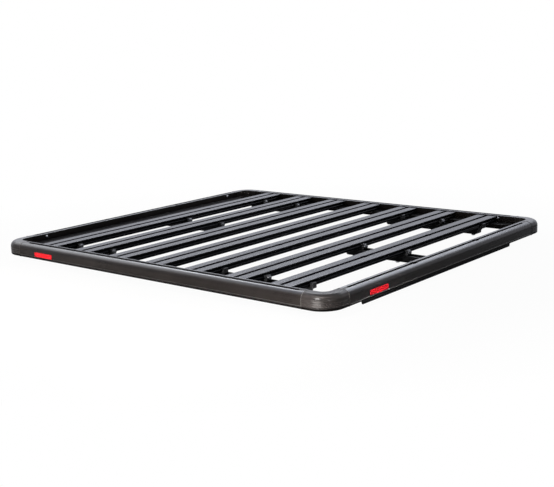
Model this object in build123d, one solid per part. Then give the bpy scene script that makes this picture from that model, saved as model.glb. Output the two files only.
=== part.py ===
from build123d import *
import os

os.makedirs("parts", exist_ok=True)

# Flat platform roof rack: four rail extrusions joined by moulded corners, slats across them,
# and six channels clamped under the front and rear slats, which bolt down to the roof feet.
# X runs front to rear with the front at +X, Y from side to side, Z up from the foot of the wind strip.

# Whole platform
length = 1530.0
width = 1380.0
rail_height = 49.5
strip_drop = 25.5

# Rail extrusion
rail_width = 44.0
rail_wall = 2.5
nose_radius = 20.0
foot_radius = 4.0
edge_radius = 1.5
bead_height = 9.0
bead_size = 1.8
step_depth = 18.0
ledge_depth = 46.0
ledge_thickness = 3.5
ledge_bevel = 28.0

# Slot for sliding bolts, the same in rails and slats
slot_setback = 18.0
slot_neck = 12.0
slot_lip = 3.5
slot_width = 23.0
slot_height = 8.0
notch_offset = 202.0
notch_length = 24.0
notch_width = 20.0
notch_radius = 4.0

# Corner mouldings
corner_leg = 101.0
corner_radius = 72.0
corner_wall = 4.0
corner_end_wall = 6.0
corner_rib = 3.5
corner_rib_rise = 8.0
corner_rib_angles = (30.0, 60.0)
tongue_length = 60.0
tongue_clearance = 0.3
plug_length = 26.0
joint_gap = 0.5

# Slats
slat_count = 7
end_gap = 132.8
slat_width = 82.0
slat_drop = 2.5
slat_depth = 23.0
slat_wall = 2.0
slat_body = 58.0
slat_foot = 76.0
slat_foot_depth = 10.0
slat_foot_radius = 2.5
slat_clearance = 0.3

# Channels under the front and rear slats
channel_inset = 112.0
rear_centre_shift = 46.0
channel_width = 40.0
channel_height = 24.0
channel_wall = 3.5
channel_radius = 4.0
channel_overhang = 31.0
channel_bevel = 13.0
channel_hole_spacing = 60.0
channel_hole_length = 24.0
channel_hole_width = 9.0

# Saddles that clamp the slats to the channels
saddle_height = 5.5
saddle_width = 20.0
saddle_block = 50.0
jaw_thickness = 9.0
jaw_reach = 6.0
jaw_hook = 2.7
jaw_radius = 2.6
seat_clearance = 0.3

# Wind strip under the front rail
strip_setback = 38.0
strip_blade = 4.0
strip_flange = 26.0
strip_flange_thickness = 3.0
strip_inset = 107.0
strip_bevel = 8.0

# Levels and spacings that follow from the sizes above
deck = rail_height + strip_drop
slat_top = deck - slat_drop
slat_under = slat_top - slat_depth
channel_top = slat_under - saddle_height
channel_floor = channel_top - channel_height + channel_wall
inner_length = length - 2 * rail_width
inner_width = width - 2 * rail_width
slat_pitch = (inner_length - 2 * end_gap - slat_width) / (slat_count - 1)
slat_places = [slat_pitch * (i - (slat_count - 1) / 2) for i in range(slat_count)]
channel_row = inner_width / 2 - channel_inset

# Each channel's place across the rack; it carries two slats at its own end, or three if it is a long one
channel_places = {
    "front_left": -channel_row,
    "front_centre": 0.0,
    "front_right": channel_row,
    "rear_left": -channel_row,
    "rear_centre": rear_centre_shift,
    "rear_right": channel_row,
}
long_channels = ("front_left", "front_right")

up = Vector(0, 0, 1)
sides = {
    "front": (Vector(1, 0, 0), length / 2, width),
    "rear": (Vector(-1, 0, 0), length / 2, width),
    "left": (Vector(0, -1, 0), width / 2, length),
    "right": (Vector(0, 1, 0), width / 2, length),
}


def rectangle(left, right, bottom, top):
    return Pos((left + right) / 2, (bottom + top) / 2) * Rectangle(right - left, top - bottom)


def rounded(sketch, x, y, radius):
    return fillet(sketch.vertices().sort_by_distance((x, y, 0))[0], radius)


# Sections of the rail: x is outwards from the inner edge of its top, y is up from the deck.
# Below the slats the rail steps inwards, so that the slat ends rest on it.
def rail_rim():
    rim = rectangle(0, rail_width, -rail_height, 0)
    rim += rectangle(-step_depth, 0, -rail_height, slat_under - deck)
    rim = rounded(rim, rail_width, 0, nose_radius)
    rim = rounded(rim, rail_width, -rail_height, foot_radius)
    rim = rounded(rim, 0, 0, edge_radius)
    rim = rounded(rim, -step_depth, -rail_height, edge_radius)
    bead = Pos(rail_width, bead_height - rail_height) * Rot(0, 0, 45) * Rectangle(bead_size, bead_size)
    return rim - bead


def rail_chamber(wall, bottom):
    chamber = rectangle(wall, rail_width - wall, bottom, -wall)
    chamber = rounded(chamber, rail_width - wall, -wall, nose_radius - wall)
    return chamber + rectangle(wall - step_depth, wall, bottom, slat_under - deck - wall)


def slot_cut(middle):
    neck = rectangle(middle - slot_neck / 2, middle + slot_neck / 2, -slot_lip, 0)
    cavity = rectangle(middle - slot_width / 2, middle + slot_width / 2, -slot_lip - slot_height, -slot_lip)
    return neck + cavity


def slot_housing(middle, wall):
    reach = slot_width / 2 + wall
    return rectangle(middle - reach, middle + reach, -slot_lip - slot_height - wall, 0)


def slot_plug():
    half_neck = slot_neck / 2 - tongue_clearance
    half_cavity = slot_width / 2 - tongue_clearance
    foot = tongue_clearance - slot_lip - slot_height
    shoulder = -slot_lip - tongue_clearance
    neck = rectangle(slot_setback - half_neck, slot_setback + half_neck, foot, 0)
    return neck + rectangle(slot_setback - half_cavity, slot_setback + half_cavity, foot, shoulder)


def rail_section():
    housing = slot_housing(slot_setback, rail_wall)
    housing += rectangle(0, slot_setback, -slot_lip - slot_height - rail_wall, 0)
    chamber = rail_chamber(rail_wall, rail_wall - rail_height) - housing
    return rail_rim() - chamber - slot_cut(slot_setback)


# Flange that carries on inwards from the step; its ends are cut back clear of the corners
def rail_ledge(run):
    inner = step_depth - ledge_depth
    plan = Polyline((-run, 0), (run, 0), (run - ledge_bevel, inner), (ledge_bevel - run, inner), close=True)
    return extrude(make_face(plan), -ledge_thickness)


def entry_notches(x, top):
    notch = extrude(RectangleRounded(notch_width, notch_length, notch_radius), -slot_lip)
    return [Pos(x, y, top) * notch for y in (-notch_offset, notch_offset)]


def rail(side, section):
    outward, reach, span = sides[side]
    along = outward.cross(up)
    inner_edge = outward * (reach - rail_width)
    run = span / 2 - corner_leg - joint_gap
    bar = extrude(Plane(inner_edge + up * deck, x_dir=outward, z_dir=along) * section, run, both=True)
    bar += Plane(inner_edge - outward * step_depth + up * slat_under, x_dir=along, z_dir=up) * rail_ledge(run)
    if outward.X:
        bar -= entry_notches(outward.X * (reach - rail_width + slot_setback), deck)
    return bar


# The corner at front right: a quarter turn with a short straight leg on each side
def corner_sweep(section, straight):
    centre = Vector(length / 2 - corner_radius, width / 2 - corner_radius, deck)
    inner = corner_radius - rail_width
    facing_front = Plane(centre + Vector(inner, 0, 0), x_dir=(1, 0, 0), z_dir=(0, -1, 0)) * section
    facing_right = Plane(centre + Vector(0, inner, 0), x_dir=(0, 1, 0), z_dir=(1, 0, 0)) * section
    turn = revolve(facing_front, Axis(centre, (0, 0, 1)), 90)
    return turn + extrude(facing_front, straight) + extrude(facing_right, -straight)


def corner_ribs():
    centre = Pos(length / 2 - corner_radius, width / 2 - corner_radius, deck)
    web = rail_chamber(corner_wall / 2, corner_rib_rise - rail_height)
    upright = Plane((corner_radius - rail_width, 0, 0), x_dir=(1, 0, 0), z_dir=(0, -1, 0)) * web
    plate = extrude(upright, corner_rib / 2, both=True)
    return [centre * Rot(0, 0, angle) * plate for angle in corner_rib_angles]


# Tongues that slide into the hollow of each rail, and short plugs that close the ends of its slot
def corner_tongues():
    slack = rail_wall + tongue_clearance
    below_slot = rectangle(-step_depth, rail_width, -rail_height, -slot_lip - slot_height - slack)
    tongue = rail_chamber(slack, slack - rail_height) & below_slot
    front = Plane((length / 2 - rail_width, width / 2 - corner_leg, deck), x_dir=(1, 0, 0), z_dir=(0, -1, 0))
    right = Plane((length / 2 - corner_leg, width / 2 - rail_width, deck), x_dir=(0, 1, 0), z_dir=(1, 0, 0))
    pieces = []
    for section, reach in ((tongue, tongue_length), (slot_plug(), plug_length)):
        pieces += [extrude(front * section, reach), extrude(right * section, -reach)]
    return pieces


def corner():
    straight = corner_leg - corner_radius
    shell = corner_sweep(rail_rim(), straight)
    hollow = corner_sweep(rail_chamber(corner_wall, -rail_height), straight - corner_end_wall)
    return shell - hollow + corner_ribs() + corner_tongues()


# Slat section: x across the slat, y up from its top
def slat_section():
    top = rectangle(-slat_width / 2, slat_width / 2, -slot_lip, 0)
    for end in (-slat_width / 2, slat_width / 2):
        top = rounded(top, end, 0, edge_radius)
    foot_top = slat_foot_depth - slat_depth
    foot = rectangle(-slat_foot / 2, slat_foot / 2, -slat_depth, foot_top)
    for end in (-slat_foot / 2, slat_foot / 2):
        foot = rounded(foot, end, -slat_depth, slat_foot_radius)
        foot = rounded(foot, end, foot_top, slat_foot_radius)
    body = rectangle(-slat_body / 2, slat_body / 2, -slat_depth, 0)
    inside = slat_body / 2 - slat_wall
    inside_foot = slat_foot / 2 - slat_wall
    chamber = rectangle(-inside, inside, slat_wall - slat_depth, -slat_wall) - slot_housing(0, slat_wall)
    chamber += rectangle(-inside_foot, inside_foot, slat_wall - slat_depth, foot_top - slat_wall)
    return top + body + foot - chamber - slot_cut(0)


def slat():
    run = inner_width / 2 - slat_clearance
    bar = extrude(Plane((0, 0, slat_top), x_dir=(1, 0, 0), z_dir=(0, -1, 0)) * slat_section(), run, both=True)
    return bar - entry_notches(0, slat_top)


def carried_slats(name):
    return slat_places[-3:] if name in long_channels else slat_places[-2:]


# Upward-open channel under the front slats; a centre one runs on to the front rail
def channel(name):
    offset = channel_places[name]
    tied = name.endswith("centre")
    near_end = carried_slats(name)[0] - channel_overhang
    far_end = slat_places[-1] + channel_overhang
    if tied:
        far_end = inner_length / 2 - step_depth - seat_clearance
    bottom = channel_top - channel_height
    outline = rectangle(-channel_width / 2, channel_width / 2, bottom, channel_top)
    trough_half = channel_width / 2 - channel_wall
    trough = rectangle(-trough_half, trough_half, channel_floor, channel_top)
    for end in (-channel_width / 2, channel_width / 2):
        outline = rounded(outline, end, bottom, channel_radius)
    start = Plane((near_end, offset, 0), x_dir=(0, 1, 0), z_dir=(1, 0, 0))
    run = far_end - near_end
    end_plate = channel_wall if tied else 0
    bar = extrude(start * outline, run) - extrude(start * trough, run - end_plate)
    bar -= channel_bevel_cut(near_end, 1, offset)
    if not tied:
        bar -= channel_bevel_cut(far_end, -1, offset)
    hole = extrude(SlotOverall(channel_hole_length, channel_hole_width), channel_wall * 2, both=True)
    middle = (slat_places[-1] + slat_places[-2]) / 2
    spots = (middle - channel_hole_spacing / 2, middle + channel_hole_spacing / 2)
    return bar - [Pos(x, offset, bottom) * hole for x in spots]


def channel_bevel_cut(x, inward, offset):
    bottom = channel_top - channel_height
    wedge = Polyline((x, channel_top), (x, bottom), (x + inward * channel_bevel, bottom), close=True)
    return Pos(0, offset, 0) * extrude(Plane.XZ * make_face(wedge), channel_width, both=True)


# Saddle: an arm under the slat with a hooked jaw at each end, on a block that sits in the channel
def saddle():
    jaw_in = slat_foot / 2 + seat_clearance
    jaw_out = jaw_in + jaw_thickness
    hook_under = slat_under + slat_foot_depth + seat_clearance
    side = rectangle(-jaw_out, jaw_out, channel_top, hook_under + jaw_hook)
    side -= rectangle(-jaw_in, jaw_in, slat_under, hook_under)
    side -= rectangle(jaw_reach - slat_foot / 2, slat_foot / 2 - jaw_reach, slat_under, hook_under + jaw_hook)
    for end in (-jaw_out, jaw_out):
        side = rounded(side, end, hook_under + jaw_hook, jaw_radius)
        side = rounded(side, end, channel_top, jaw_radius)
    arm = extrude(Plane.XZ * side, saddle_width / 2, both=True)
    block_width = channel_width - 2 * channel_wall - 2 * seat_clearance
    block = extrude(Rectangle(saddle_block, block_width), channel_top - channel_floor)
    return arm + Pos(0, 0, channel_floor) * block


# Wind strip: a flange flat under the front rail and a blade that hangs from it
def wind_strip():
    blade_x = length / 2 - strip_setback
    half = width / 2 - corner_leg - strip_inset
    blade = Polyline((-half, strip_drop), (strip_bevel - half, 0), (half - strip_bevel, 0),
                     (half, strip_drop), close=True)
    face = Plane((blade_x, 0, 0), x_dir=(0, 1, 0), z_dir=(1, 0, 0)) * make_face(blade)
    hanging = extrude(face, strip_blade)
    flange = Box(strip_flange, 2 * half, strip_flange_thickness, align=(Align.MIN, Align.CENTER, Align.MAX))
    return hanging + Pos(blade_x, 0, strip_drop) * flange


def rear_of(shape):
    return mirror(shape, about=Plane.YZ)


def left_of(shape):
    return mirror(shape, about=Plane.XZ)


rail_profile = rail_section()
nodes = {f"{side}_rail": rail(side, rail_profile) for side in sides}
front_right = corner()
nodes["front_right_corner"] = front_right
nodes["front_left_corner"] = left_of(front_right)
nodes["rear_right_corner"] = rear_of(front_right)
nodes["rear_left_corner"] = rear_of(left_of(front_right))
plain_slat = slat()
for number, place in enumerate(slat_places, start=1):
    nodes[f"slat_{number}"] = Pos(place, 0, 0) * plain_slat
plain_saddle = saddle()
for name, offset in channel_places.items():
    end = 1 if name.startswith("front") else -1
    nodes[f"{name}_channel"] = channel(name) if end > 0 else rear_of(channel(name))
    places = [end * place for place in carried_slats(name)]
    nodes[f"{name}_saddles"] = Compound(children=[Pos(place, offset, 0) * plain_saddle for place in places])
nodes["wind_strip"] = wind_strip()

for name, shape in nodes.items():
    export_step(shape, f"parts/{name}.step")
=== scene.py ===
import math

import bmesh
import bpy
from mathutils import Matrix, Vector


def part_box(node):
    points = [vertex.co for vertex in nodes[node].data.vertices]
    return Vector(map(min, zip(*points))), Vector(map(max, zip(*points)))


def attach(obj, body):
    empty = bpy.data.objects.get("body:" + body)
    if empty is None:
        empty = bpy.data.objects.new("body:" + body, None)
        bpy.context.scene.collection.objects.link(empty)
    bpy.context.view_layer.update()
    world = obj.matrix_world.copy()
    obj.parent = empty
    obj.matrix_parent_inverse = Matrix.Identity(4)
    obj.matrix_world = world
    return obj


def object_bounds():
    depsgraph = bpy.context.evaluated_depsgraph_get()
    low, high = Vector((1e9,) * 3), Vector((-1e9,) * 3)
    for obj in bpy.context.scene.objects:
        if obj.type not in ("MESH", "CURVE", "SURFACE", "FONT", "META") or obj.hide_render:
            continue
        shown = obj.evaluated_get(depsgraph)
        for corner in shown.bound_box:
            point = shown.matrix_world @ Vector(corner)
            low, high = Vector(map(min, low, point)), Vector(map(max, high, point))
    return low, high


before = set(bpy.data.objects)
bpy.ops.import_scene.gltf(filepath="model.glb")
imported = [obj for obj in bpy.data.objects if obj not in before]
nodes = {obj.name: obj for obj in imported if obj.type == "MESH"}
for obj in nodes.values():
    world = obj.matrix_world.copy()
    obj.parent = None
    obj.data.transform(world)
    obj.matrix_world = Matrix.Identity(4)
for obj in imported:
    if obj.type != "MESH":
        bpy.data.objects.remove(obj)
cadLow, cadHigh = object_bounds()
scene = bpy.context.scene
scene.view_settings.view_transform = "Standard"
print("frame loaded:", len(nodes), "nodes")


class Wire:
    # a socket in a node tree: sums on it add Math nodes, and node() adds any other node
    def __init__(self, tree, socket=None):
        self.tree = tree
        self.socket = socket

    def node(self, kind, settings=None, inputs=None, output=0):
        made = self.tree.nodes.new(kind)
        for name, value in (settings or {}).items():
            setattr(made, name, value)
        for name, value in (inputs or {}).items():
            for item in value if isinstance(value, list) else [value]:  # a list goes into one join socket
                if isinstance(item, Wire):
                    self.tree.links.new(item.socket, made.inputs[name])
                else:
                    made.inputs[name].default_value = item
        return Wire(self.tree, made.outputs[output] if len(made.outputs) else None)

    def out(self, name):
        return Wire(self.tree, self.socket.node.outputs[name])

    def sums(self, operation, first, second):
        return self.node("ShaderNodeMath", {"operation": operation}, {0: first, 1: second})

    def __add__(self, other):
        return self.sums("ADD", self, other)

    def __radd__(self, other):
        return self.sums("ADD", other, self)

    def __sub__(self, other):
        return self.sums("SUBTRACT", self, other)

    def __rsub__(self, other):
        return self.sums("SUBTRACT", other, self)

    def __mul__(self, other):
        return self.sums("MULTIPLY", self, other)

    def __rmul__(self, other):
        return self.sums("MULTIPLY", other, self)

    def __truediv__(self, other):
        return self.sums("DIVIDE", self, other)

    def __rtruediv__(self, other):
        return self.sums("DIVIDE", other, self)


# what the finishes share: bands are where the middle values of a noise lie
black = (0.0, 0.0, 0.0, 1.0)
narrowBand = (0.35, 0.65)
wideBand = (0.3, 0.7)
surface = {
    "edgeSamples": 4,
    "worn": (0.80, 0.99),  # how far the rounded normal agrees with the flat one, on an edge and off it
    "upward": (0.55, 0.98),  # the upright part of a normal, where a face starts to look up and where it does
    "deckDepth": (0.012, 0.005),  # below the top of the rack, where the deck starts and where it is in full
}


def newFinish(name):
    material = bpy.data.materials.new(name)
    material.use_nodes = True
    material.node_tree.nodes.clear()
    return material, Wire(material.node_tree)


def skinned(material, start, inputs):
    skin = start.node("ShaderNodeBsdfPrincipled", {}, inputs)
    start.node("ShaderNodeOutputMaterial", {}, {"Surface": skin})
    return material


def blendColour(first, second, amount):
    return amount.node("ShaderNodeMix", {"data_type": "RGBA"}, {0: amount, 6: first, 7: second}, output=2)


def average(first, second):
    return first * 0.5 + second * 0.5


def part(vector, axis):
    return vector.node("ShaderNodeSeparateXYZ", {}, {"Vector": vector}, output=axis)


def spread(value, low, high, fromLow=0.0, fromHigh=1.0):
    return value.node("ShaderNodeMapRange", {}, {"Value": value, "From Min": fromLow, "From Max": fromHigh,
                                                 "To Min": low, "To Max": high})


def noise(place, scale=1.0, detail=3.0, roughness=0.5):
    return place.node("ShaderNodeTexNoise", {}, {"Vector": place, "Scale": scale, "Detail": detail,
                                                 "Roughness": roughness})


def stretched(place, scale):
    return place.node("ShaderNodeMapping", {}, {"Vector": place, "Scale": scale})


def bumped(height, strength, depth, normal=None):
    inputs = {"Strength": strength, "Distance": depth, "Height": height}
    if normal:
        inputs["Normal"] = normal
    return height.node("ShaderNodeBump", {}, inputs)


def edgeWear(start, radius):
    rounded = start.node("ShaderNodeBevel", {"samples": surface["edgeSamples"]}, {"Radius": radius})
    flat = start.node("ShaderNodeNewGeometry", output="Normal")
    agree = start.node("ShaderNodeVectorMath", {"operation": "DOT_PRODUCT"}, {0: rounded, 1: flat},
                       output="Value")
    return rounded, spread(agree, 1.0, 0.0, *surface["worn"])


def depthBand(place, depths):
    # rises from 0 to 1 between two depths below the top of the rack
    first, last = (cadHigh[2] - depth for depth in depths)
    return spread(part(place, "Z"), 0.0, 1.0, first, last)


def upwardFaces(start, place):
    # how far a face looks up, for those on the deck and for those below it
    normal = start.node("ShaderNodeNewGeometry", output="Normal")
    upward = spread(part(normal, "Z"), 0.0, 1.0, *surface["upward"])
    onDeck = depthBand(place, surface["deckDepth"])
    return upward * onDeck, upward * (1.0 - onDeck)


# powder coat over drawn aluminium: orange peel, faint die lines, a little bluish dust on top that also paints
# in part of the sky's sheen, pale edges, a painted highlight low on the outer face, and painted shade below
# the deck, on the slats' sides, at the foot and beside a slot;
# in all the finishes a noise is given by its scale, detail and roughness
railCoat = {
    "dark": (0.0072, 0.0061, 0.0056, 1.0),
    "pale": (0.0140, 0.0119, 0.0110, 1.0),
    "mottle": (11.0, 5.0, 0.6),
    "speck": (260.0, 2.0),
    "speckShare": 0.5,
    "paleBand": (0.5, 1.0),
    "dustAndSheen": (0.050, 0.056, 0.068, 1.0),
    "dustAmount": 0.55,
    "dustPatches": (5.0, 6.0, 0.65),
    "dustLeast": 0.45,
    "edge": (0.16, 0.165, 0.175, 1.0),
    "edgeRadius": 0.0012,
    "edgeAmount": 0.5,
    "edgeLeast": 0.3,
    "roughness": (0.27, 0.37),
    "ior": 1.5,
    "glanceTint": (0.14, 0.13, 0.13, 1.0),
    "underShade": 0.95,
    "underRoughness": 0.68,
    "sideShade": 0.0,
    "footDepth": (0.0418, 0.0450),
    "footShade": 1.0,
    "footRoughness": 0.55,
    "line": (0.060, 0.058, 0.056, 1.0),
    "lineDepth": 0.0395,
    "lineHalf": 0.0016,
    "lineCore": 0.6,
    "lineAmount": 0.55,
    "slotStart": -0.6602,  # the left rail's, and the pitch is wider than the rack
    "slotPitch": 4.0,
    "slotReach": (0.0085, 0.0092),
    "slotShade": 0.9,
    "slotRoughness": 0.6,
    "peel": (950.0, 2.0, 0.55),
    "peelShare": 0.75,
    "peelDepth": 0.00012,
    "dieScale": 700.0,
    "dieRun": 2.5,
    "dieDetail": 2.0,
    "dieShare": 0.35,
    "bump": 0.35,
}
# the end rails carry a brighter painted highlight low on the outer face
endCoat = dict(
    railCoat, line=(0.11, 0.107, 0.103, 1.0), lineDepth=0.0426, lineHalf=0.0018, lineAmount=0.9,
    slotPitch=0.0)
slatCoat = dict(
    railCoat, dark=(0.0080, 0.0086, 0.0104, 1.0), pale=(0.0150, 0.0160, 0.0186, 1.0),
    dustAndSheen=(0.056, 0.062, 0.078, 1.0), dustAmount=0.30, roughness=(0.18, 0.25), ior=1.28,
    glanceTint=(0.35, 0.36, 0.40, 1.0), edgeAmount=0.25, sideShade=0.75, footShade=0.0, lineAmount=0.0,
    slotStart=0.0, slotPitch=0.1824, slotReach=(0.0084, 0.0089))
channelCoat = dict(
    railCoat, dark=(0.0050, 0.0050, 0.0054, 1.0), pale=(0.0100, 0.0100, 0.0106, 1.0), dustAmount=0.12,
    roughness=(0.40, 0.55), glanceTint=(0.15, 0.15, 0.15, 1.0), edgeAmount=0.3, underShade=0.2,
    underRoughness=0.0, footShade=0.0, lineAmount=0.0, slotPitch=0.0)


def coatFinish(name, coat, along):
    material, start = newFinish(name)
    place = start.node("ShaderNodeTexCoord", output="Object")
    mottle = noise(place, *coat["mottle"])
    speck = noise(place, *coat["speck"])
    peel = noise(place, *coat["peel"])
    drawn = tuple(coat["dieRun"] if axis == along else coat["dieScale"] for axis in "XYZ")
    dieLines = noise(stretched(place, drawn), detail=coat["dieDetail"])
    rounded, wear = edgeWear(start, coat["edgeRadius"])
    onDeck, below = upwardFaces(start, place)
    foot = depthBand(place, coat["footDepth"]) * coat["footShade"]  # painted shade where the face rounds under
    patches = spread(noise(place, *coat["dustPatches"]), coat["dustLeast"], 1.0, *wideBand)
    tone = spread(mottle + speck * coat["speckShare"], 0.0, 1.0, *coat["paleBand"])
    colour = blendColour(coat["dark"], coat["pale"], tone)
    # bluish dust on the faces that look up, which also paints in part of the sky's sheen on the tops
    colour = blendColour(colour, coat["dustAndSheen"], onDeck * coat["dustAmount"] * patches)
    # painted shade: faces that look up below the deck, the slats' side faces and the foot go towards black
    shade = below * coat["underShade"] + (1.0 - onDeck - below) * coat["sideShade"] + foot
    colour = blendColour(colour, black, shade)
    rubbed = wear * coat["edgeAmount"] * spread(speck, coat["edgeLeast"], 1.0, *narrowBand)
    colour = blendColour(colour, coat["edge"], rubbed)
    rough = spread(average(mottle, dieLines), *coat["roughness"], *narrowBand)
    rough = rough + below * coat["underRoughness"] + foot * coat["footRoughness"]
    if coat["lineAmount"]:  # a fine pale line low on the outer face: a painted highlight along the bead there
        lineHeight = cadHigh[2] - coat["lineDepth"]
        fromLine = start.node("ShaderNodeMath", {"operation": "ABSOLUTE"}, {0: part(place, "Z") - lineHeight})
        core = coat["lineHalf"] * coat["lineCore"]
        beadGlint = spread(fromLine, coat["lineAmount"], 0.0, core, coat["lineHalf"])
        colour = blendColour(colour, coat["line"], beadGlint)
    if coat["slotPitch"]:  # painted shade: the lips beside a slot are darkened, so its dark line reads wider, and dulled
        aside = part(place, "Y" if along == "X" else "X") - coat["slotStart"]
        fromSlot = start.sums("PINGPONG", aside, coat["slotPitch"] / 2)
        slotLipShade = onDeck * spread(fromSlot, 1.0, 0.0, *coat["slotReach"])
        colour = blendColour(colour, black, slotLipShade * coat["slotShade"])
        rough = rough + slotLipShade * coat["slotRoughness"]
    relief = peel * coat["peelShare"] + dieLines * coat["dieShare"]
    return skinned(material, start, {
        "Base Color": colour, "Roughness": rough, "IOR": coat["ior"], "Specular Tint": coat["glanceTint"],
        "Normal": bumped(relief, coat["bump"], coat["peelDepth"], rounded)})


# filled nylon of the corners: leathery grain and faint flow streaks round the turn
cornerMoulding = {
    "dark": (0.0110, 0.0094, 0.0087, 1.0),
    "pale": (0.0210, 0.0179, 0.0166, 1.0),
    "mottle": (14.0, 4.0, 0.6),
    "dustAndSheen": (0.052, 0.060, 0.074, 1.0),
    "dustAmount": 0.15,
    "dustLeast": 0.5,
    "edge": (0.11, 0.108, 0.105, 1.0),
    "edgeRadius": 0.0014,
    "edgeAmount": 0.55,
    "roughness": (0.24, 0.36),
    "underRoughness": 0.2,
    "ior": 1.14,
    "glanceTint": (0.30, 0.30, 0.30, 1.0),
    "footDepth": (0.0395, 0.0430),
    "footShade": 0.85,
    "polish": 0.45,
    "polishRoughness": 0.30,
    "polishIor": 1.42,
    "topPolish": 0.6,
    "scuffed": (0.72, -0.65, 0.075),
    "scuffReach": (0.25, 0.60),
    "grainScale": 620.0,
    "grainShare": 0.7,
    "grainDepth": 0.00009,
    "fine": (1364.0, 2.0),
    "fineShare": 0.3,
    "streakScale": (4.0, 4.0, 190.0),
    "bump": 0.4,
}
# a paler copy of the corner moulding for the joint seams: a painted highlight where their edges catch the
# light
litSeamMoulding = dict(cornerMoulding, dark=(0.034, 0.031, 0.029, 1.0), pale=(0.066, 0.061, 0.057, 1.0))


def mouldingFinish(name, mould):
    material, start = newFinish(name)
    place = start.node("ShaderNodeTexCoord", output="Object")
    grain = start.node("ShaderNodeTexVoronoi", {"feature": "SMOOTH_F1"},
                       {"Vector": place, "Scale": mould["grainScale"]})
    fine = noise(place, *mould["fine"])
    flow = noise(stretched(place, mould["streakScale"]))
    mottle = noise(place, *mould["mottle"])
    rounded, wear = edgeWear(start, mould["edgeRadius"])
    onDeck, below = upwardFaces(start, place)
    foot = depthBand(place, mould["footDepth"])
    # bluish dust on the top, which also paints in part of the sky's sheen
    dustAndSheen = onDeck * mould["dustAmount"] * spread(mottle, mould["dustLeast"], 1.0, *wideBand)
    tone = spread(average(mottle, flow), 0.0, 1.0, *narrowBand)
    colour = blendColour(mould["dark"], mould["pale"], tone)
    colour = blendColour(colour, mould["dustAndSheen"], dustAndSheen)
    # painted shade at the foot, where the face rounds under
    colour = blendColour(colour, black, foot * mould["footShade"])
    colour = blendColour(colour, mould["edge"], wear * mould["edgeAmount"] * (1.0 - foot))
    rough = spread(flow, *mould["roughness"], *wideBand) + below * mould["underRoughness"]
    # the top of one corner is scuffed dull
    fromScuff = start.node("ShaderNodeVectorMath", {"operation": "DISTANCE"},
                           {0: place, 1: mould["scuffed"]}, output="Value")
    topPolish = spread(fromScuff, 0.0, mould["topPolish"], *mould["scuffReach"])
    polish = mould["polish"] * (1.0 - onDeck) * (1.0 - foot) + onDeck * topPolish
    relief = grain * mould["grainShare"] + fine * mould["fineShare"]
    return skinned(material, start, {
        "Base Color": colour, "Roughness": rough, "IOR": mould["ior"], "Specular Tint": mould["glanceTint"],
        "Coat Weight": polish, "Coat Roughness": mould["polishRoughness"], "Coat IOR": mould["polishIor"],
        "Normal": bumped(relief, mould["bump"], mould["grainDepth"], rounded)})


# cast saddles: black coat over a sand-cast skin
saddleCoat = {
    "dark": (0.020, 0.020, 0.021, 1.0),
    "pale": (0.040, 0.040, 0.042, 1.0),
    "mottle": (40.0, 4.0),
    "edge": (0.18, 0.182, 0.186, 1.0),
    "edgeRadius": 0.0012,
    "edgeShare": (0.2, 0.8),
    "edgeBand": (0.4, 0.6),
    "roughness": (0.42, 0.60),
    "ior": 1.45,
    "glanceTint": (0.35, 0.35, 0.36, 1.0),
    "cast": (420.0, 4.0, 0.65),
    "castDepth": 0.00035,
    "bump": 0.5,
}


def castFinish(name, cast):
    material, start = newFinish(name)
    place = start.node("ShaderNodeTexCoord", output="Object")
    sand = noise(place, *cast["cast"])
    mottle = noise(place, *cast["mottle"])
    rounded, wear = edgeWear(start, cast["edgeRadius"])
    colour = blendColour(cast["dark"], cast["pale"], spread(mottle, 0.0, 1.0, *narrowBand))
    colour = blendColour(colour, cast["edge"], wear * spread(sand, *cast["edgeShare"], *cast["edgeBand"]))
    return skinned(material, start, {
        "Base Color": colour, "Roughness": spread(sand, *cast["roughness"], *narrowBand),
        "IOR": cast["ior"], "Specular Tint": cast["glanceTint"],
        "Normal": bumped(sand, cast["bump"], cast["castDepth"], rounded)})


# wind strip rubber: fine ribs along its length
stripRubber = {
    "dark": (0.0050, 0.0050, 0.0053, 1.0),
    "pale": (0.0150, 0.0150, 0.0156, 1.0),
    "grime": (60.0, 4.0, 0.6),
    "grimeLeast": 0.3,
    "ribPitch": 0.0036,
    "ribDepth": 0.0006,
    "fineScale": 900.0,
    "fineShare": 0.08,
    "bump": 0.6,
    "roughness": (0.62, 0.82),
    "ior": 1.45,
    "glanceTint": (0.30, 0.30, 0.30, 1.0),
}


def rubberFinish(name, rubber):
    material, start = newFinish(name)
    place = start.node("ShaderNodeTexCoord", output="Object")
    turns = part(place, "Z") * (2 * math.pi / rubber["ribPitch"])
    ribs = start.node("ShaderNodeMath", {"operation": "SINE"}, {0: turns}) * 0.5 + 0.5
    grime = noise(place, *rubber["grime"])
    dirt = spread(grime, rubber["grimeLeast"], 1.0, *narrowBand)
    relief = ribs + noise(place, rubber["fineScale"]) * rubber["fineShare"]
    return skinned(material, start, {
        "Base Color": blendColour(rubber["dark"], rubber["pale"], ribs * dirt),
        "Roughness": spread(grime, *rubber["roughness"], *wideBand),
        "IOR": rubber["ior"], "Specular Tint": rubber["glanceTint"],
        "Normal": bumped(relief, rubber["bump"], rubber["ribDepth"])})


# plain steel fasteners, and blackened ones at the clamps and ledges
boltSteel = {
    "bright": (0.62, 0.63, 0.65, 1.0),
    "dull": (0.36, 0.365, 0.38, 1.0),
    "bloom": (320.0, 4.0, 0.6),
    "bloomBand": (0.35, 0.6),
    "scratchScale": (240.0, 2400.0, 2400.0),
    "scratchDepth": 0.00005,
    "bump": 0.2,
    "roughness": (0.20, 0.42),
}
boltBlack = dict(
    boltSteel, bright=(0.20, 0.203, 0.210, 1.0), dull=(0.065, 0.066, 0.069, 1.0), roughness=(0.26, 0.46))


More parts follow.
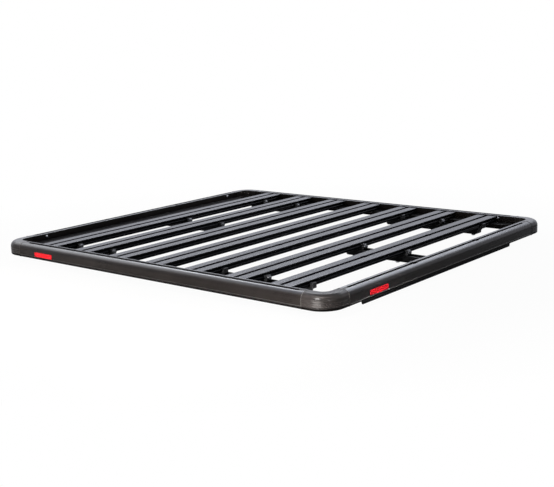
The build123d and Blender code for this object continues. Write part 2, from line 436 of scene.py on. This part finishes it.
def steelFinish(name, steel):
    material, start = newFinish(name)
    place = start.node("ShaderNodeTexCoord", output="Object")
    bloom = noise(place, *steel["bloom"])
    scratch = noise(stretched(place, steel["scratchScale"]))
    tone = spread(bloom, 0.0, 1.0, *steel["bloomBand"])
    return skinned(material, start, {
        "Base Color": blendColour(steel["dull"], steel["bright"], tone), "Metallic": 1.0,
        "Roughness": spread(average(scratch, bloom), *steel["roughness"], *narrowBand),
        "Normal": bumped(scratch, steel["bump"], steel["scratchDepth"])})


# plain red enamel plates
plateRed = {
    "deep": (0.62, 0.006, 0.013, 1.0),
    "bright": (0.80, 0.012, 0.022, 1.0),
    "mottle": (75.0, 4.0, 0.6),
    "mottleLeast": 0.2,
    "mottleBand": (0.35, 0.6),
    "edge": (0.80, 0.06, 0.07, 1.0),
    "edgeRadius": 0.0008,
    "edgeAmount": 0.5,
    "roughness": (0.50, 0.64),
    "glanceTint": (0.25, 0.25, 0.25, 1.0),
    "fineScale": 700.0,
    "fineDepth": 0.0001,
    "bump": 0.15,
}


def enamelFinish(name, enamel):
    material, start = newFinish(name)
    place = start.node("ShaderNodeTexCoord", output="Object")
    mottle = noise(place, *enamel["mottle"])
    rounded, wear = edgeWear(start, enamel["edgeRadius"])
    tone = spread(mottle, enamel["mottleLeast"], 1.0, *enamel["mottleBand"])
    colour = blendColour(enamel["deep"], enamel["bright"], tone)
    colour = blendColour(colour, enamel["edge"], wear * enamel["edgeAmount"])
    fine = noise(place, enamel["fineScale"])
    return skinned(material, start, {
        "Base Color": colour, "Roughness": spread(mottle, *enamel["roughness"], *wideBand),
        "Specular Tint": enamel["glanceTint"],
        "Normal": bumped(fine, enamel["bump"], enamel["fineDepth"], rounded)})


finishes = {
    "sideRail": coatFinish("side rail coat", railCoat, "X"),
    "endRail": coatFinish("end rail coat", endCoat, "Y"),
    "slat": coatFinish("slat coat", slatCoat, "Y"),
    "channel": coatFinish("channel coat", channelCoat, "X"),
    "corner": mouldingFinish("corner moulding", cornerMoulding),
    "seam": mouldingFinish("seam highlight moulding", litSeamMoulding),
    "saddle": castFinish("saddle coat", saddleCoat),
    "strip": rubberFinish("strip rubber", stripRubber),
    "bolt": steelFinish("bolt steel", boltSteel),
    "blackBolt": steelFinish("bolt black", boltBlack),
    "plate": enamelFinish("plate red", plateRed),
}
finishByEnding = {"corner": "corner", "channel": "channel", "saddles": "saddle", "strip": "strip"}
for name, node in nodes.items():
    ending = name.split("_")[-1]
    if name.startswith("slat"):
        choice = "slat"
    elif ending == "rail":
        choice = "endRail" if name.startswith(("front", "rear")) else "sideRail"
    else:
        choice = finishByEnding[ending]
    node.data.materials.clear()
    node.data.materials.append(finishes[choice])
print("finishes set:", len(finishes))


# Geometry Nodes that make the fasteners: each point has an axis, and a head is put there with its own spin
weldInTree, weldInMesh = 0.00002, 0.00001  # points nearer than this become one
hexShape = {
    "washerSides": 28,
    "stubSides": 16,
    "washerTop": 0.54,  # a share of the size across flats
    "prismRise": 0.84,  # a share of the head's height; the crown is the rest
    "crownTop": 0.86,  # a share of the prism's radius
    "stubTop": 0.44,  # a share of the stub's diameter
}
socketShape = {
    "sides": 24,
    "skirtRise": 0.5,  # these two are shares of the head's height
    "seatRise": 0.4,
    "skirtTop": 0.92,  # and these of its radius
    "domeTop": 0.66,
}


def newTree(name, sizes):
    tree = bpy.data.node_groups.new(name, "GeometryNodeTree")
    tree.interface.new_socket("Geometry", in_out="OUTPUT", socket_type="NodeSocketGeometry")
    tree.interface.new_socket("Geometry", in_out="INPUT", socket_type="NodeSocketGeometry")
    for size in sizes:
        tree.interface.new_socket(size, in_out="INPUT", socket_type="NodeSocketFloat")
    tree.interface.new_socket("Seed", in_out="INPUT", socket_type="NodeSocketInt")
    tree.interface.new_socket("Finish", in_out="INPUT", socket_type="NodeSocketMaterial")
    return Wire(tree).node("NodeGroupInput")


def raised(shape, lift):
    offset = shape.node("ShaderNodeCombineXYZ", {}, {"Z": lift})
    return shape.node("GeometryNodeTransform", {}, {"Geometry": shape, "Translation": offset})


def frustum(given, sides, bottom, top, depth, lift, fill="NGON"):
    shape = given.node("GeometryNodeMeshCone", {"fill_type": fill}, {
        "Vertices": sides, "Radius Bottom": bottom, "Radius Top": top, "Depth": depth}, output="Mesh")
    return raised(shape, lift)


def ringCurve(given, sides, radius):
    return given.node("GeometryNodeCurvePrimitiveCircle", {}, {"Resolution": sides, "Radius": radius})


def filled(curve):
    return curve.node("GeometryNodeFillCurve", {}, {"Curve": curve})


def joined(shapes):
    return shapes[0].node("GeometryNodeJoinGeometry", {}, {"Geometry": shapes})


def finishTree(given, shape):
    real = given.node("GeometryNodeRealizeInstances", {}, {"Geometry": shape})
    done = given.node("GeometryNodeSetMaterial", {}, {"Geometry": real, "Material": given.out("Finish")})
    given.node("NodeGroupOutput", {}, {"Geometry": done})


def putOnPoints(given, head):
    head = head.node("GeometryNodeMergeByDistance", {}, {"Geometry": head, "Distance": weldInTree})
    head = head.node("GeometryNodeSetShadeSmooth", {}, {"Geometry": head, "Shade Smooth": False})
    axis = given.node("GeometryNodeInputNamedAttribute", {"data_type": "FLOAT_VECTOR"}, {"Name": "axis"})
    aimed = given.node("FunctionNodeAlignRotationToVector", {"axis": "Z"}, {"Vector": axis})
    spin = given.node("FunctionNodeRandomValue", {"data_type": "FLOAT"},
                      {2: 0.0, 3: 2 * math.pi, "Seed": given.out("Seed")}, output=1)
    turn = given.node("ShaderNodeCombineXYZ", {}, {"Z": spin})
    turn = given.node("FunctionNodeEulerToRotation", {}, {0: turn})
    aimed = given.node("FunctionNodeRotateRotation", {"rotation_space": "LOCAL"},
                       {"Rotation": aimed, "Rotate By": turn})
    placed = given.node("GeometryNodeInstanceOnPoints", {},
                        {"Points": given.out("Geometry"), "Instance": head, "Rotation": aimed})
    finishTree(given, placed)


def hexHeadTree(shape):
    given = newTree("hexHead", ["Across Flats", "Head Height", "Washer Diameter", "Washer Height",
                                "Stub Diameter", "Stub Length"])
    flats, rise = given.out("Across Flats"), given.out("Head Height")
    washer, stub = given.out("Washer Height"), given.out("Stub Diameter")
    corner = flats / math.sqrt(3)
    prismRise = rise * shape["prismRise"]
    crownRise = rise * (1 - shape["prismRise"])
    putOnPoints(given, joined([
        frustum(given, shape["washerSides"], given.out("Washer Diameter") * 0.5, flats * shape["washerTop"],
                washer, 0.0),
        frustum(given, 6, corner, corner, prismRise, washer),
        frustum(given, 6, corner, corner * shape["crownTop"], crownRise, washer + prismRise),
        frustum(given, shape["stubSides"], stub * 0.5, stub * shape["stubTop"], given.out("Stub Length"),
                washer + rise),
    ]))
    return given.tree


def socketHeadTree(shape):
    given = newTree("socketHead", ["Head Diameter", "Head Height", "Key Size"])
    sides, rise = shape["sides"], given.out("Head Height")
    radius = given.out("Head Diameter") * 0.5
    skirtTop, domeTop = radius * shape["skirtTop"], radius * shape["domeTop"]
    skirtRise, domeRise = rise * shape["skirtRise"], rise * (1 - shape["skirtRise"])
    seatRise, keyDepth = rise * shape["seatRise"], rise * (1 - shape["seatRise"])
    key = given.out("Key Size") / math.sqrt(3)
    rim = joined([ringCurve(given, sides, domeTop), ringCurve(given, 6, key)])
    putOnPoints(given, joined([
        filled(ringCurve(given, sides, radius)),
        frustum(given, sides, radius, skirtTop, skirtRise, 0.0, "NONE"),
        frustum(given, sides, skirtTop, domeTop, domeRise, skirtRise, "NONE"),
        raised(filled(rim), rise),
        frustum(given, 6, key, key, keyDepth, seatRise, "NONE"),
        raised(filled(ringCurve(given, 6, key)), seatRise),
    ]))
    return given.tree


def settle(piece):
    shape = bmesh.new()
    shape.from_mesh(piece.data)
    bmesh.ops.remove_doubles(shape, verts=shape.verts, dist=weldInMesh)
    bmesh.ops.recalc_face_normals(shape, faces=shape.faces)
    shape.to_mesh(piece.data)
    shape.free()
    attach(piece, "root")


def runTree(name, mesh, tree, settings, finish):
    piece = bpy.data.objects.new(name, mesh)
    scene.collection.objects.link(piece)
    modifier = piece.modifiers.new("make", "NODES")
    modifier.node_group = tree
    values = dict(settings, Finish=finishes[finish])
    for item in tree.interface.items_tree:
        if item.in_out == "INPUT" and item.name in values:
            modifier[item.identifier] = values[item.name]
    made = bpy.data.meshes.new_from_object(piece.evaluated_get(bpy.context.evaluated_depsgraph_get()))
    piece.modifiers.clear()
    piece.data = made
    made.name = name
    settle(piece)


def putFasteners(name, places, tree, settings, finish):
    mesh = bpy.data.meshes.new(name + " places")
    mesh.from_pydata([place for place, axis in places], [], [])
    axes = mesh.attributes.new("axis", "FLOAT_VECTOR", "POINT")
    for index, (place, axis) in enumerate(places):
        axes.data[index].vector = axis
    runTree(name, mesh, tree, settings, finish)


hexHead = hexHeadTree(hexShape)
socketHead = socketHeadTree(socketShape)
down = Vector((0, 0, -1))
quarters = [(a, b) for a in (-1, 1) for b in (-1, 1)]  # the four corners, by the signs of X and Y

# places taken from the CAD nodes; a rail's width on top is the part's own
railTopWidth = 0.044
sideRailLow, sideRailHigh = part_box("right_rail")
deck = sideRailHigh.z
railFoot = sideRailLow.z
sideRailEnd = sideRailHigh.x
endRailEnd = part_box("front_rail")[1].y
innerEnd = cadHigh[0] - railTopWidth
innerSide = cadHigh[1] - railTopWidth
slatX = {}
for number in range(1, 8):
    low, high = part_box(f"slat_{number}")
    slatX[number] = (low.x + high.x) / 2

# every clamp by the slat that it holds and its place across the rack; where a channel holds three
# slats, only the middle clamp has a bolt across it
clamped = {"front_left": (5, 6, 7), "front_centre": (6, 7), "front_right": (5, 6, 7),
           "rear_left": (1, 2), "rear_centre": (1, 2), "rear_right": (1, 2)}
clamps, bolted = [], []
for run, numbers in clamped.items():
    low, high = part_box(f"{run}_channel")
    places = [(slatX[number], (low.y + high.y) / 2) for number in numbers]
    clamps += places
    bolted += places[1:2] if len(places) == 3 else places
channelLow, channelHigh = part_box("front_left_channel")
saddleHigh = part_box("front_left_saddles")[1]
jawFace = saddleHigh.x - slatX[7]
jawMiddle = (channelHigh.z + saddleHigh.z) / 2

# clamp bolts across the saddles, head to the front and nut to the rear
clampBolt = {
    "head": {"Across Flats": 0.013, "Head Height": 0.0055, "Washer Diameter": 0.0155, "Washer Height": 0.0014,
             "Stub Diameter": 0.004, "Stub Length": 0.0002, "Seed": 3},
    "nut": {"Across Flats": 0.013, "Head Height": 0.0062, "Washer Diameter": 0.0155, "Washer Height": 0.0014,
            "Stub Diameter": 0.008, "Stub Length": 0.0045, "Seed": 5},
}
spots = [((x + jawFace, y, jawMiddle), (1, 0, 0)) for x, y in bolted]
putFasteners("clamp_bolts", spots, hexHead, clampBolt["head"], "blackBolt")
spots = [((x - jawFace, y, jawMiddle), (-1, 0, 0)) for x, y in bolted]
putFasteners("clamp_nuts", spots, hexHead, clampBolt["nut"], "blackBolt")

# a bolt up through each channel into the saddle above it
channelBolt = {
    "head": {"Across Flats": 0.013, "Head Height": 0.0055, "Washer Diameter": 0.0178, "Washer Height": 0.0016,
             "Stub Diameter": 0.004, "Stub Length": 0.0002, "Seed": 7},
}
spots = [((x, y, channelLow.z), down) for x, y in clamps]
putFasteners("channel_bolts", spots, hexHead, channelBolt["head"], "bolt")

# button heads under the ledges, two to a slat end
ledgeBolt = {
    "head": {"Head Diameter": 0.0125, "Head Height": 0.0042, "Key Size": 0.005, "Seed": 11},
    "spacing": 0.036,
    "fromEdge": 0.014,
    "ledgeThick": 0.0035,
}
ledgeLine = sideRailLow.y + ledgeBolt["fromEdge"]
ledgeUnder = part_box("slat_4")[0].z - ledgeBolt["ledgeThick"]
spots = [((x + step * ledgeBolt["spacing"] / 2, side * ledgeLine, ledgeUnder), down)
         for x in slatX.values() for step in (-1, 1) for side in (-1, 1)]
putFasteners("ledge_bolts", spots, socketHead, ledgeBolt["head"], "blackBolt")

# screws that hold the rails to the corners: inside walls and undersides
cornerScrew = {
    "head": {"Head Diameter": 0.0095, "Head Height": 0.0034, "Key Size": 0.004, "Seed": 13},
    "insideReach": 0.070,
    "depth": 0.0094,
    "under": {"Head Diameter": 0.0105, "Head Height": 0.003, "Key Size": 0.004, "Seed": 17},
    "underReaches": (0.030, 0.052),
    "underIn": 0.030,
}
screwHeight = deck - cornerScrew["depth"]
insideY = endRailEnd - cornerScrew["insideReach"]
insideX = sideRailEnd - cornerScrew["insideReach"]
underX = cadHigh[0] - cornerScrew["underIn"]
underY = cadHigh[1] - cornerScrew["underIn"]
insideSpots, underSpots = [], []
for a, b in quarters:
    insideSpots.append(((a * innerEnd, b * insideY, screwHeight), (-a, 0, 0)))
    insideSpots.append(((a * insideX, b * innerSide, screwHeight), (0, -b, 0)))
    for reach in cornerScrew["underReaches"]:
        underSpots.append(((a * underX, b * (endRailEnd - reach), railFoot), down))
        underSpots.append(((a * (sideRailEnd - reach), b * underY, railFoot), down))
putFasteners("corner_screws", insideSpots, socketHead, cornerScrew["head"], "bolt")
putFasteners("rail_foot_screws", underSpots, socketHead, cornerScrew["under"], "bolt")

# screws along the wind strip's flange
stripScrew = {
    "head": {"Head Diameter": 0.0085, "Head Height": 0.0026, "Key Size": 0.003, "Seed": 19},
    "count": 9,
    "end": 0.035,
    "setIn": 0.010,
    "flangeThick": 0.003,
}
stripLow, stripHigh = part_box("wind_strip")
stripStart = stripLow.y + stripScrew["end"]
stripRun = stripHigh.y - stripLow.y - 2 * stripScrew["end"]
screwX = stripHigh.x - stripScrew["setIn"]
flangeUnder = stripHigh.z - stripScrew["flangeThick"]
spots = [((screwX, stripStart + stripRun * index / (stripScrew["count"] - 1), flangeUnder), down)
         for index in range(stripScrew["count"])]
putFasteners("strip_screws", spots, socketHead, stripScrew["head"], "bolt")
print("fasteners made")


# fine raised seams where a rail meets a corner, in a paler moulding that paints a highlight on them: a tree
# that sweeps a round bead along the rail's outline
jointSeam = {
    "bead": {"Width": 0.0018, "Seed": 0},
    "beadSides": 8,
    "offJoint": 0.0002,
    "inset": 0.0020,
    "noseRadius": 0.020,
    "noseSteps": 12,
    "footRadius": 0.004,
    "footSteps": 5,
}


def arc(centre, radius, first, last, steps):
    line = []
    for step in range(steps + 1):
        angle = math.radians(first + (last - first) * step / steps)
        line.append((centre[0] + radius * math.cos(angle), centre[1] + radius * math.sin(angle)))
    return line


def beadTree(sides):
    given = newTree("jointSeam", ["Width"])
    path = given.node("GeometryNodeMeshToCurve", {}, {"Mesh": given.out("Geometry")})
    bead = ringCurve(given, sides, given.out("Width") * 0.5)
    swept = given.node("GeometryNodeCurveToMesh", {},
                       {"Curve": path, "Profile Curve": bead, "Fill Caps": True})
    finishTree(given, swept)
    return given.tree


def pathMesh(name, lines):
    verts, edges = [], []
    for line in lines:
        edges += [(i, i + 1) for i in range(len(verts), len(verts) + len(line) - 1)]
        verts += line
    mesh = bpy.data.meshes.new(name)
    mesh.from_pydata(verts, edges, [])
    return mesh


def railOutline(seam):
    # outwards from a rail's inner side and up from its top
    tall, nose, foot = deck - railFoot, seam["noseRadius"], seam["footRadius"]
    line = [(seam["inset"], 0.0)]
    line += arc((railTopWidth - nose, -nose), nose, 90, 0, seam["noseSteps"])
    line += arc((railTopWidth - foot, foot - tall), foot, 0, -90, seam["footSteps"])
    return line + [(seam["inset"], -tall)]


outline = railOutline(jointSeam)
endJoint = endRailEnd + jointSeam["offJoint"]
sideJoint = sideRailEnd + jointSeam["offJoint"]
lines = []
for a, b in quarters:
    lines.append([(a * (innerEnd + out), b * endJoint, deck + height) for out, height in outline])
    lines.append([(a * sideJoint, b * (innerSide + out), deck + height) for out, height in outline])
beadSweep = beadTree(jointSeam["beadSides"])
runTree("joint_seams", pathMesh("seam paths", lines), beadSweep, jointSeam["bead"], "seam")

# low ridges moulded round the outer face of each corner, one above the other
cornerRidge = {
    "bead": {"Width": 0.0030, "Seed": 0},
    "depths": (0.0250, 0.0315, 0.0380),
    "sink": 0.0009,
    "fromJoint": 0.005,
    "turnRadius": 0.072,
    "steps": 24,
}


def ridgePath(ridge):
    turn, sink = ridge["turnRadius"], ridge["sink"]
    line = [(sideRailEnd + ridge["fromJoint"], cadHigh[1] - sink)]
    line += arc((cadHigh[0] - turn, cadHigh[1] - turn), turn - sink, 90, 0, ridge["steps"])
    return line + [(cadHigh[0] - sink, endRailEnd + ridge["fromJoint"])]


turnPath = ridgePath(cornerRidge)
lines = [[(a * x, b * y, deck - depth) for x, y in turnPath]
         for a, b in quarters for depth in cornerRidge["depths"]]
runTree("corner_ridges", pathMesh("ridge paths", lines), beadSweep, cornerRidge["bead"], "corner")


# plain plates on the outer faces: a sunk face inside a narrow raised border
redPlate = {
    "long": 0.097,
    "tall": 0.0165,
    "corner": 0.0025,
    "cornerSteps": 6,
    "cornerFollow": 0.8,  # how fast the corners sharpen inwards
    "back": 0.0002,
    "thick": 0.0011,
    "bevel": 0.0003,
    "bevelFrom": 0.7,  # a share of the thickness
    "border": 0.0011,
    "slope": 1.5,  # where the face is sunk in full, in widths of the border
    "sink": 0.0004,
    "depth": 0.0315,
    "sideX": -0.526,
    "frontY": -0.435,
}


def plateOutline(plate, inward):
    radius = plate["corner"] - inward * plate["cornerFollow"]
    x = plate["long"] / 2 - inward - radius
    z = plate["tall"] / 2 - inward - radius
    line = []
    for index, centre in enumerate(((x, z), (-x, z), (-x, -z), (x, -z))):
        line += arc(centre, radius, 90 * index, 90 * (index + 1), plate["cornerSteps"])
    return line


def platePiece(name, plate, place, turn):
    edge, thick = plate["border"], plate["thick"]
    steps = [(0.0, -plate["back"]), (0.0, thick * plate["bevelFrom"]), (plate["bevel"], thick), (edge, thick),
             (edge * plate["slope"], thick - plate["sink"])]
    shape = bmesh.new()
    loops = [[shape.verts.new((x, -out, z)) for x, z in plateOutline(plate, inward)] for inward, out in steps]
    count = len(loops[0])
    for lower, upper in zip(loops, loops[1:]):
        for i in range(count):
            shape.faces.new((lower[i], lower[(i + 1) % count], upper[(i + 1) % count], upper[i]))
    shape.faces.new(loops[-1])
    shape.faces.new(reversed(loops[0]))
    stand = Matrix.Translation(place) @ Matrix.Rotation(turn, 4, "Z")
    bmesh.ops.transform(shape, matrix=stand, verts=shape.verts)
    mesh = bpy.data.meshes.new(name)
    shape.to_mesh(mesh)
    shape.free()
    mesh.materials.append(finishes["plate"])
    piece = bpy.data.objects.new(name, mesh)
    scene.collection.objects.link(piece)
    settle(piece)


plateHeight = deck - redPlate["depth"]
platePiece("left_red_plate", redPlate, (redPlate["sideX"], cadLow[1], plateHeight), 0.0)
platePiece("front_red_plate", redPlate, (cadHigh[0], redPlate["frontY"], plateHeight), math.radians(90))
print("seams and plates made")


# pale floor and soft light
studio = {
    "floorSize": 40.0,
    "floorColour": (0.38, 0.38, 0.38, 1.0),
    "flagColour": (0.04, 0.04, 0.04, 1.0),
    "flagReach": (0.75, 1.15),
    "whiteShare": 0.965,
    "mirroredShare": 0.02,
    "shadowReach": (0.9, 1.7),
    "fill": 0.18,
    "skyColour": (1.0, 1.0, 1.0, 1.0),
    "mirroredSky": (0.895, 0.910, 1.0, 1.0),
    "lampAim": (0, 0, 0.05),
    "lampCone": 180.0,
}


def seenDirectly(start):
    light = start.node("ShaderNodeLightPath", output="Is Camera Ray")
    return start.sums("MAXIMUM", light, light.out("Is Transmission Ray"))


def mixedShaders(first, second, amount):
    return amount.node("ShaderNodeMixShader", {}, {0: amount, 1: first, 2: second})


def floorFinish():
    material, start = newFinish("studio floor")
    place = start.node("ShaderNodeTexCoord", output="Object")
    flagged = spread(part(place, "X"), 0.0, 1.0, *studio["flagReach"])  # less light bounces up in front
    matt = start.node("ShaderNodeBsdfDiffuse", {}, {"Color": studio["floorColour"]})
    flag = start.node("ShaderNodeBsdfDiffuse", {}, {"Color": studio["flagColour"]})
    white = start.node("ShaderNodeEmission", {}, {"Color": studio["skyColour"]})
    away = start.node("ShaderNodeVectorMath", {"operation": "LENGTH"}, {0: place}, output="Value")
    share = spread(away, studio["whiteShare"], 1.0, *studio["shadowReach"])  # the shadow fades out
    mirrored = start.node("ShaderNodeLightPath", output="Is Glossy Ray") * studio["mirroredShare"]
    seen = start.sums("MAXIMUM", seenDirectly(start), mirrored)
    shown = mixedShaders(mixedShaders(matt, flag, flagged), white, seen * share)
    start.node("ShaderNodeOutputMaterial", {}, {"Surface": shown})
    return material


half = studio["floorSize"] / 2
floorMesh = bpy.data.meshes.new("studio_floor")
floorMesh.from_pydata([(-half, -half, 0), (half, -half, 0), (half, half, 0), (-half, half, 0)], [],
                      [(0, 1, 2, 3)])
floorMesh.materials.append(floorFinish())
floor = bpy.data.objects.new("studio_floor", floorMesh)
scene.collection.objects.link(floor)

world = bpy.data.worlds.new("studio sky")
world.use_nodes = True
world.node_tree.nodes.clear()
sky = Wire(world.node_tree)
fill = sky.node("ShaderNodeBackground", {}, {"Color": studio["skyColour"], "Strength": studio["fill"]})
white = sky.node("ShaderNodeBackground", {}, {"Color": studio["skyColour"]})
cool = sky.node("ShaderNodeBackground", {}, {"Color": studio["mirroredSky"]})
mirrored = sky.node("ShaderNodeLightPath", output="Is Glossy Ray")
shown = mixedShaders(mixedShaders(fill, white, seenDirectly(sky)), cool, mirrored)
sky.node("ShaderNodeOutputWorld", {}, {"Surface": shown})
scene.world = world

# an aim straight above or below its lamp stands a hair aside, which settles how the lamp is turned
lamps = {
    "rearBox": {
        "place": (-3.0, 0.2, 2.4), "size": (3.0, 1.6), "watts": 64.0, "colour": (0.95, 0.97, 1.0)},
    "cornerBox": {
        "place": (-2.6, 2.8, 2.5), "size": (2.6, 0.9), "watts": 75.0, "colour": (0.90, 0.94, 1.0)},
    "leftRearBox": {
        "place": (-2.8, -1.7, 2.4), "size": (1.4, 1.4), "watts": 22.0, "colour": (0.98, 0.98, 1.0)},
    "rightBox": {
        "place": (0.3, 3.2, 2.5), "size": (2.8, 1.4), "watts": 78.0, "colour": (0.86, 0.90, 1.0)},
    "frontBox": {
        "place": (3.3, -1.2, 0.5), "size": (1.2, 0.6), "watts": 4.0, "colour": (1.0, 1.0, 1.0)},
    "leftBox": {
        "place": (0.5, -3.3, 0.14), "size": (2.0, 0.24), "watts": 40.0, "colour": (1.0, 0.95, 0.91)},
    "leftFloorBox": {
        "place": (0.12, -1.15, 0.9), "size": (1.9, 0.4), "watts": 18.0, "colour": (1.0, 0.90, 0.84),
        "aim": (0.12, -1.1501, 0.0), "cone": 70.0},
    "kickerBox": {
        "place": (0.730, -0.86, 0.004), "size": (0.15, 0.15), "watts": 1.5, "colour": (1.0, 0.95, 0.92),
        "aim": (0.730, -0.8601, 1.0)},
    "glintBox": {
        "place": (0.80, -1.95, 0.95), "size": (0.35, 0.35), "watts": 2.1, "colour": (1.0, 0.98, 0.97),
        "aim": (0.70, -0.69, 0.06), "cone": 40.0},
    "plateBox": {
        "place": (2.6, -1.6, 0.35), "size": (0.2, 0.2), "watts": 0.18, "colour": (1.0, 1.0, 1.0),
        "aim": (0.765, -0.435, 0.045), "cone": 12.0},
}
for name, lamp in lamps.items():
    data = bpy.data.lights.new(name, "AREA")
    data.shape = "RECTANGLE"
    data.size, data.size_y = lamp["size"]
    data.energy = lamp["watts"]
    data.color = lamp["colour"]
    data.spread = math.radians(lamp.get("cone", studio["lampCone"]))
    light = bpy.data.objects.new(name, data)
    light.location = lamp["place"]
    aim = Vector(lamp.get("aim", studio["lampAim"]))
    light.rotation_euler = (aim - light.location).to_track_quat("-Z", "Y").to_euler()
    light.visible_camera = False
    scene.collection.objects.link(light)

view = {
    "place": (2.4628, -2.9351, 0.8425),
    "turn": 39.964,
    "dip": 12.1385,
    "roll": -1.9877,
    "lens": 66.82,
    "sensor": 36.0,
}
cameraData = bpy.data.cameras.new("view")
cameraData.lens = view["lens"]
cameraData.sensor_width = view["sensor"]
camera = bpy.data.objects.new("view", cameraData)
camera.matrix_world = (Matrix.Translation(view["place"]) @ Matrix.Rotation(math.radians(view["turn"]), 4, "Z")
                       @ Matrix.Rotation(math.radians(90 - view["dip"]), 4, "X")
                       @ Matrix.Rotation(math.radians(view["roll"]), 4, "Z"))
scene.collection.objects.link(camera)
scene.camera = camera
print("studio ready")
